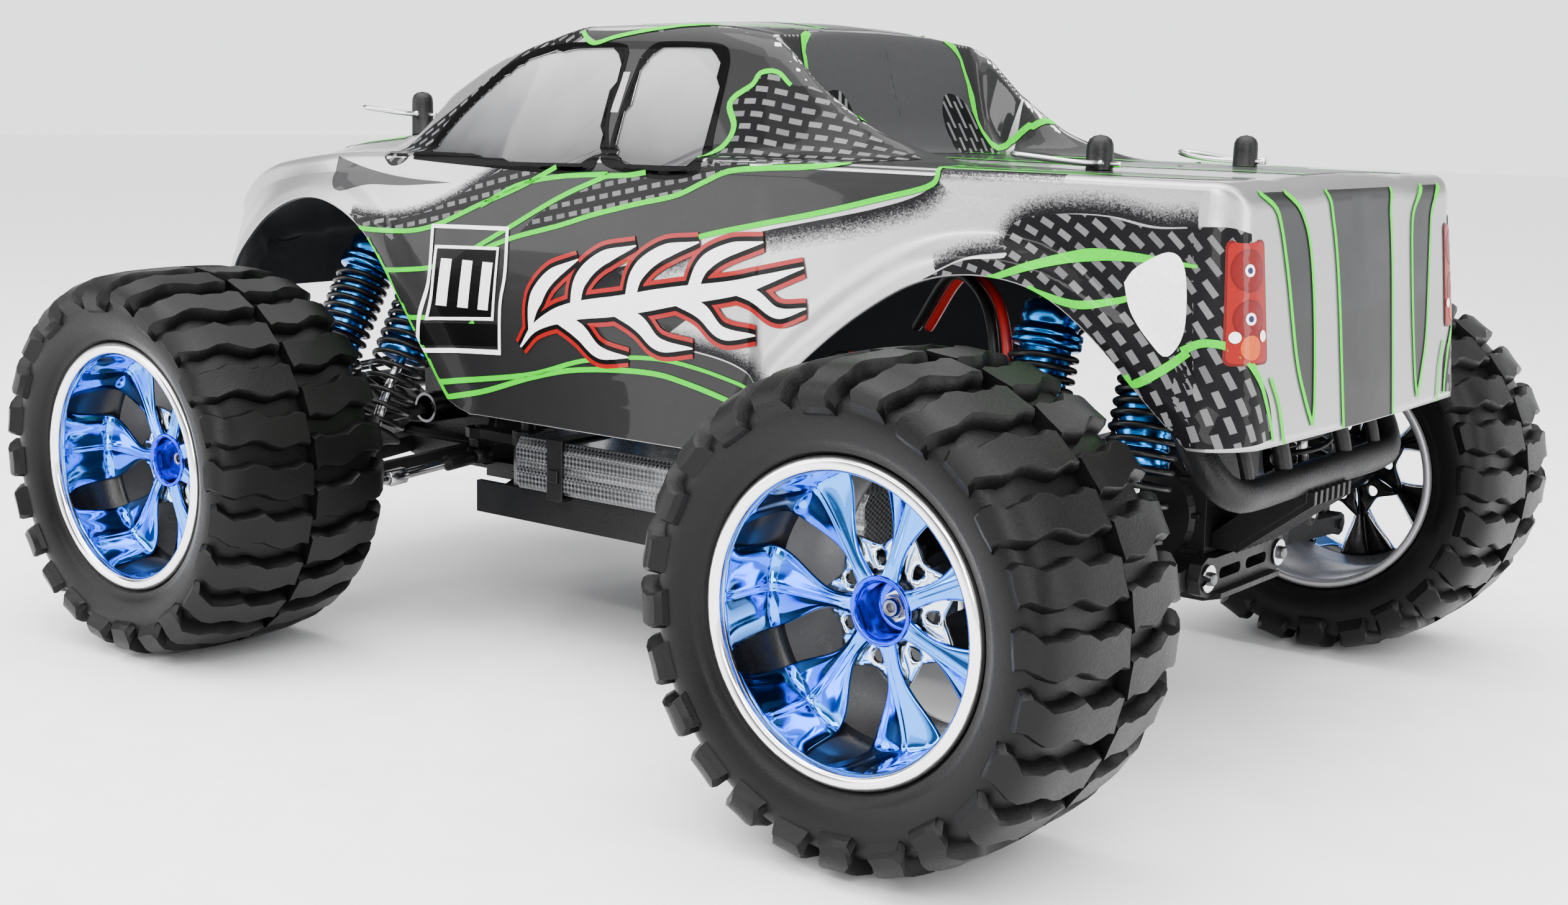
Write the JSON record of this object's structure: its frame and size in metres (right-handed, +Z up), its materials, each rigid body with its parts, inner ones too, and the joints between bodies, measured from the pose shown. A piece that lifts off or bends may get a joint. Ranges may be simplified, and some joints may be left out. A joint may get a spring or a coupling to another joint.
{
  "type": "radio-controlled monster truck",
  "caption": "Four-wheel-drive toy truck with a lift-off painted pickup body, big lugged tyres, twin coil-over shocks at every corner and working steering.",
  "frame": {"origin": "on the ground, under the middle of the truck's box", "axes": "+X forward, +Y to the truck's left, +Z up"},
  "size_m": [0.412, 0.325, 0.2008],
  "materials": {
    "body_paint": "clear polycarbonate painted inside: silver pearl, charcoal, black mesh areas, green pinstripes",
    "tyre_rubber": "matte moulded rubber",
    "rim_chrome": "chrome plating, blue in the dish and bright at the lip",
    "steel": "plated or turned steel",
    "blue_anodised": "blue anodised, threaded",
    "spring_black": "black powder-coated spring wire",
    "chassis_plastic": "moulded nylon",
    "battery_wrap": "printed shrink wrap with a woven look",
    "electronics_case": "moulded case",
    "tail_light": "printed red decal under clear plastic"
  },
  "bodies": {
    "chassis": {"chassis_tray": "chassis_plastic", "battery_pack": "battery_wrap", "speed_controller": "electronics_case", "motor": "steel", "front_gearbox": "chassis_plastic", "rear_gearbox": "chassis_plastic", "front_shock_tower": "chassis_plastic", "rear_shock_tower": "chassis_plastic", "front_bumper": "chassis_plastic", "rear_bumper": "chassis_plastic", "steering_servo": "electronics_case"},
    "wheel_fl": {"tyre_fl": "tyre_rubber", "rim_fl": "rim_chrome", "axle_fl": "steel"},
    "lower_arm_fl": {"lower_arm_fl": "chassis_plastic"},
    "carrier_fl": {"carrier_fl": "chassis_plastic"},
    "upper_link_fl": {"upper_link_fl": "steel"},
    "driveshaft_fl": {"driveshaft_fl": "steel"},
    "shock_bodies_fl": {"shock_bodies_fl": "blue_anodised"},
    "shock_rods_fl": {"shock_rods_fl": "steel"},
    "knuckle_fl": {"knuckle_fl": "chassis_plastic"},
    "tie_rod_fl": {"tie_rod_fl": "steel"},
    "bellcrank_fl": {"bellcrank_fl": "chassis_plastic"},
    "wheel_fr": {"tyre_fr": "tyre_rubber", "rim_fr": "rim_chrome", "axle_fr": "steel"},
    "lower_arm_fr": {"lower_arm_fr": "chassis_plastic"},
    "carrier_fr": {"carrier_fr": "chassis_plastic"},
    "upper_link_fr": {"upper_link_fr": "steel"},
    "driveshaft_fr": {"driveshaft_fr": "steel"},
    "shock_bodies_fr": {"shock_bodies_fr": "blue_anodised"},
    "shock_rods_fr": {"shock_rods_fr": "steel"},
    "knuckle_fr": {"knuckle_fr": "chassis_plastic"},
    "tie_rod_fr": {"tie_rod_fr": "steel"},
    "bellcrank_fr": {"bellcrank_fr": "chassis_plastic"},
    "wheel_rl": {"tyre_rl": "tyre_rubber", "rim_rl": "rim_chrome", "axle_rl": "steel"},
    "lower_arm_rl": {"lower_arm_rl": "chassis_plastic"},
    "carrier_rl": {"carrier_rl": "chassis_plastic"},
    "upper_link_rl": {"upper_link_rl": "steel"},
    "driveshaft_rl": {"driveshaft_rl": "steel"},
    "shock_bodies_rl": {"shock_bodies_rl": "blue_anodised"},
    "shock_rods_rl": {"shock_rods_rl": "steel"},
    "wheel_rr": {"tyre_rr": "tyre_rubber", "rim_rr": "rim_chrome", "axle_rr": "steel"},
    "lower_arm_rr": {"lower_arm_rr": "chassis_plastic"},
    "carrier_rr": {"carrier_rr": "chassis_plastic"},
    "upper_link_rr": {"upper_link_rr": "steel"},
    "driveshaft_rr": {"driveshaft_rr": "steel"},
    "shock_bodies_rr": {"shock_bodies_rr": "blue_anodised"},
    "shock_rods_rr": {"shock_rods_rr": "steel"},
    "drag_link": {"drag_link": "steel"},
    "centre_driveshaft": {"centre_driveshaft": "steel"},
    "body_shell": {"body_shell": "body_paint"},
    "body_clip_fl": {"body_clip_fl": "steel"},
    "body_clip_fr": {"body_clip_fr": "steel"},
    "body_clip_rl": {"body_clip_rl": "steel"},
    "body_clip_rr": {"body_clip_rr": "steel"}
  },
  "joints": [
    {"name": "suspension_fl", "type": "hinge", "parent": "chassis", "child": "lower_arm_fl", "pos_m": [0.1295, 0.0226, 0.0514], "axis": [1, 0, 0], "range_deg": [-12, 15], "stiffness_Nm_per_rad": 6, "springref_deg": -5.73},
    {"name": "carrier_pivot_fl", "type": "hinge", "parent": "lower_arm_fl", "child": "carrier_fl", "pos_m": [0.1295, 0.1, 0.046], "axis": [1, 0, 0], "range_deg": [-15.3, 12.24]},
    {"name": "upper_link_pivot_fl", "type": "hinge", "parent": "chassis", "child": "upper_link_fl", "pos_m": [0.1345, 0.026, 0.085], "axis": [1, 0, 0], "range_deg": [-12.24, 15.3]},
    {"name": "driveshaft_swing_fl", "type": "hinge", "parent": "chassis", "child": "driveshaft_fl", "pos_m": [0.1295, 0.0306, 0.0659], "axis": [1, 0, 0], "range_deg": [-12.24, 15.3]},
    {"name": "shock_swing_fl", "type": "hinge", "parent": "chassis", "child": "shock_bodies_fl", "pos_m": [0.1295, 0.0385, 0.128], "axis": [1, 0, 0], "range_deg": [-3.55, 4.44]},
    {"name": "shock_stroke_fl", "type": "slide", "parent": "shock_bodies_fl", "child": "shock_rods_fl", "axis": [0, 0.4771, -0.8788], "range_m": [-0.01382, 0.01106]},
    {"name": "steering_fl", "type": "hinge", "parent": "carrier_fl", "child": "knuckle_fl", "pos_m": [0.1295, 0.108, 0.0605], "axis": [0, 0, 1], "range_deg": [-18, 18]},
    {"name": "wheel_spin_fl", "type": "hinge", "parent": "knuckle_fl", "child": "wheel_fl", "pos_m": [0.1295, 0.1325, 0.0605], "axis": [0, 1, 0], "continuous": true},
    {"name": "suspension_fr", "type": "hinge", "parent": "chassis", "child": "lower_arm_fr", "pos_m": [0.1295, -0.0226, 0.0514], "axis": [-1, 0, 0], "range_deg": [-12, 15], "stiffness_Nm_per_rad": 6, "springref_deg": -5.73},
    {"name": "carrier_pivot_fr", "type": "hinge", "parent": "lower_arm_fr", "child": "carrier_fr", "pos_m": [0.1295, -0.1, 0.046], "axis": [-1, 0, 0], "range_deg": [-15.3, 12.24]},
    {"name": "upper_link_pivot_fr", "type": "hinge", "parent": "chassis", "child": "upper_link_fr", "pos_m": [0.1345, -0.026, 0.085], "axis": [-1, 0, 0], "range_deg": [-12.24, 15.3]},
    {"name": "driveshaft_swing_fr", "type": "hinge", "parent": "chassis", "child": "driveshaft_fr", "pos_m": [0.1295, -0.0306, 0.0659], "axis": [-1, 0, 0], "range_deg": [-12.24, 15.3]},
    {"name": "shock_swing_fr", "type": "hinge", "parent": "chassis", "child": "shock_bodies_fr", "pos_m": [0.1295, -0.0385, 0.128], "axis": [-1, 0, 0], "range_deg": [-3.55, 4.44]},
    {"name": "shock_stroke_fr", "type": "slide", "parent": "shock_bodies_fr", "child": "shock_rods_fr", "axis": [0, -0.4771, -0.8788], "range_m": [-0.01382, 0.01106]},
    {"name": "steering_fr", "type": "hinge", "parent": "carrier_fr", "child": "knuckle_fr", "pos_m": [0.1295, -0.108, 0.0605], "axis": [0, 0, 1], "range_deg": [-18.36, 18.36]},
    {"name": "wheel_spin_fr", "type": "hinge", "parent": "knuckle_fr", "child": "wheel_fr", "pos_m": [0.1295, -0.1325, 0.0605], "axis": [0, 1, 0], "continuous": true},
    {"name": "suspension_rl", "type": "hinge", "parent": "chassis", "child": "lower_arm_rl", "pos_m": [-0.1455, 0.0226, 0.0514], "axis": [1, 0, 0], "range_deg": [-12, 15], "stiffness_Nm_per_rad": 6, "springref_deg": -5.73},
    {"name": "carrier_pivot_rl", "type": "hinge", "parent": "lower_arm_rl", "child": "carrier_rl", "pos_m": [-0.1455, 0.1, 0.046], "axis": [1, 0, 0], "range_deg": [-15.3, 12.24]},
    {"name": "upper_link_pivot_rl", "type": "hinge", "parent": "chassis", "child": "upper_link_rl", "pos_m": [-0.1505, 0.026, 0.085], "axis": [1, 0, 0], "range_deg": [-12.24, 15.3]},
    {"name": "driveshaft_swing_rl", "type": "hinge", "parent": "chassis", "child": "driveshaft_rl", "pos_m": [-0.1455, 0.024, 0.0659], "axis": [1, 0, 0], "range_deg": [-12.24, 15.3]},
    {"name": "shock_swing_rl", "type": "hinge", "parent": "chassis", "child": "shock_bodies_rl", "pos_m": [-0.1455, 0.0385, 0.128], "axis": [1, 0, 0], "range_deg": [-0.86, 1.07]},
    {"name": "shock_stroke_rl", "type": "slide", "parent": "shock_bodies_rl", "child": "shock_rods_rl", "axis": [0, 0.2876, -0.9578], "range_m": [-0.01008, 0.00806]},
    {"name": "wheel_spin_rl", "type": "hinge", "parent": "carrier_rl", "child": "wheel_rl", "pos_m": [-0.1455, 0.1325, 0.0605], "axis": [0, 1, 0], "continuous": true},
    {"name": "suspension_rr", "type": "hinge", "parent": "chassis", "child": "lower_arm_rr", "pos_m": [-0.1455, -0.0226, 0.0514], "axis": [-1, 0, 0], "range_deg": [-12, 15], "stiffness_Nm_per_rad": 6, "springref_deg": -5.73},
    {"name": "carrier_pivot_rr", "type": "hinge", "parent": "lower_arm_rr", "child": "carrier_rr", "pos_m": [-0.1455, -0.1, 0.046], "axis": [-1, 0, 0], "range_deg": [-15.3, 12.24]},
    {"name": "upper_link_pivot_rr", "type": "hinge", "parent": "chassis", "child": "upper_link_rr", "pos_m": [-0.1505, -0.026, 0.085], "axis": [-1, 0, 0], "range_deg": [-12.24, 15.3]},
    {"name": "driveshaft_swing_rr", "type": "hinge", "parent": "chassis", "child": "driveshaft_rr", "pos_m": [-0.1455, -0.024, 0.0659], "axis": [-1, 0, 0], "range_deg": [-12.24, 15.3]},
    {"name": "shock_swing_rr", "type": "hinge", "parent": "chassis", "child": "shock_bodies_rr", "pos_m": [-0.1455, -0.0385, 0.128], "axis": [-1, 0, 0], "range_deg": [-0.86, 1.07]},
    {"name": "shock_stroke_rr", "type": "slide", "parent": "shock_bodies_rr", "child": "shock_rods_rr", "axis": [0, -0.2876, -0.9578], "range_m": [-0.01008, 0.00806]},
    {"name": "wheel_spin_rr", "type": "hinge", "parent": "carrier_rr", "child": "wheel_rr", "pos_m": [-0.1455, -0.1325, 0.0605], "axis": [0, 1, 0], "continuous": true},
    {"name": "bellcrank_fl", "type": "hinge", "parent": "chassis", "child": "bellcrank_fl", "pos_m": [0.0815, 0.0306, 0.06], "axis": [0, 0, 1], "range_deg": [-18.36, 18.36]},
    {"name": "bellcrank_fr", "type": "hinge", "parent": "chassis", "child": "bellcrank_fr", "pos_m": [0.0815, -0.0306, 0.06], "axis": [0, 0, 1], "range_deg": [-18.36, 18.36]},
    {"name": "drag_link_slide", "type": "slide", "parent": "chassis", "child": "drag_link", "axis": [0, 1, 0], "range_m": [-0.00756, 0.00756]},
    {"name": "tie_rod_swing_fl", "type": "hinge", "parent": "drag_link", "child": "tie_rod_fl", "pos_m": [0.1055, 0.0306, 0.0514], "axis": [1, 0, 0], "range_deg": [-12.24, 15.3]},
    {"name": "tie_rod_swing_fr", "type": "hinge", "parent": "drag_link", "child": "tie_rod_fr", "pos_m": [0.1055, -0.0306, 0.0514], "axis": [-1, 0, 0], "range_deg": [-12.24, 15.3]},
    {"name": "centre_driveshaft_spin", "type": "hinge", "parent": "chassis", "child": "centre_driveshaft", "pos_m": [0, 0, 0.0659], "axis": [1, 0, 0], "continuous": true},
    {"name": "body_lift", "type": "slide", "parent": "chassis", "child": "body_shell", "axis": [0, 0, 1], "range_m": [0, 0.12]},
    {"name": "clip_pull_fl", "type": "slide", "parent": "body_shell", "child": "body_clip_fl", "axis": [1, 0, 0], "range_m": [0, 0.03]},
    {"name": "clip_pull_fr", "type": "slide", "parent": "body_shell", "child": "body_clip_fr", "axis": [1, 0, 0], "range_m": [0, 0.03]},
    {"name": "clip_pull_rl", "type": "slide", "parent": "body_shell", "child": "body_clip_rl", "axis": [1, 0, 0], "range_m": [0, 0.02]},
    {"name": "clip_pull_rr", "type": "slide", "parent": "body_shell", "child": "body_clip_rr", "axis": [1, 0, 0], "range_m": [0, 0.02]}
  ],
  "couplings": [
    {"joint": "carrier_pivot_fl", "follows": "suspension_fl", "ratio": -1},
    {"joint": "upper_link_pivot_fl", "follows": "suspension_fl", "ratio": 1},
    {"joint": "driveshaft_swing_fl", "follows": "suspension_fl", "ratio": 1},
    {"joint": "shock_swing_fl", "follows": "suspension_fl", "ratio": 0.29},
    {"joint": "shock_stroke_fl", "follows": "suspension_fl", "m_per_rad": -0.05175},
    {"joint": "carrier_pivot_fr", "follows": "suspension_fr", "ratio": -1},
    {"joint": "upper_link_pivot_fr", "follows": "suspension_fr", "ratio": 1},
    {"joint": "driveshaft_swing_fr", "follows": "suspension_fr", "ratio": 1},
    {"joint": "shock_swing_fr", "follows": "suspension_fr", "ratio": 0.29},
    {"joint": "shock_stroke_fr", "follows": "suspension_fr", "m_per_rad": -0.05175},
    {"joint": "steering_fr", "follows": "steering_fl", "ratio": 1},
    {"joint": "carrier_pivot_rl", "follows": "suspension_rl", "ratio": -1},
    {"joint": "upper_link_pivot_rl", "follows": "suspension_rl", "ratio": 1},
    {"joint": "driveshaft_swing_rl", "follows": "suspension_rl", "ratio": 1},
    {"joint": "shock_swing_rl", "follows": "suspension_rl", "ratio": 0.07},
    {"joint": "shock_stroke_rl", "follows": "suspension_rl", "m_per_rad": -0.03775},
    {"joint": "carrier_pivot_rr", "follows": "suspension_rr", "ratio": -1},
    {"joint": "upper_link_pivot_rr", "follows": "suspension_rr", "ratio": 1},
    {"joint": "driveshaft_swing_rr", "follows": "suspension_rr", "ratio": 1},
    {"joint": "shock_swing_rr", "follows": "suspension_rr", "ratio": 0.07},
    {"joint": "shock_stroke_rr", "follows": "suspension_rr", "m_per_rad": -0.03775},
    {"joint": "bellcrank_fl", "follows": "steering_fl", "ratio": -1},
    {"joint": "bellcrank_fr", "follows": "steering_fl", "ratio": -1},
    {"joint": "drag_link_slide", "follows": "steering_fl", "m_per_rad": -0.0236},
    {"joint": "tie_rod_swing_fl", "follows": "suspension_fl", "ratio": 1},
    {"joint": "tie_rod_swing_fr", "follows": "suspension_fr", "ratio": 1}
  ]
}
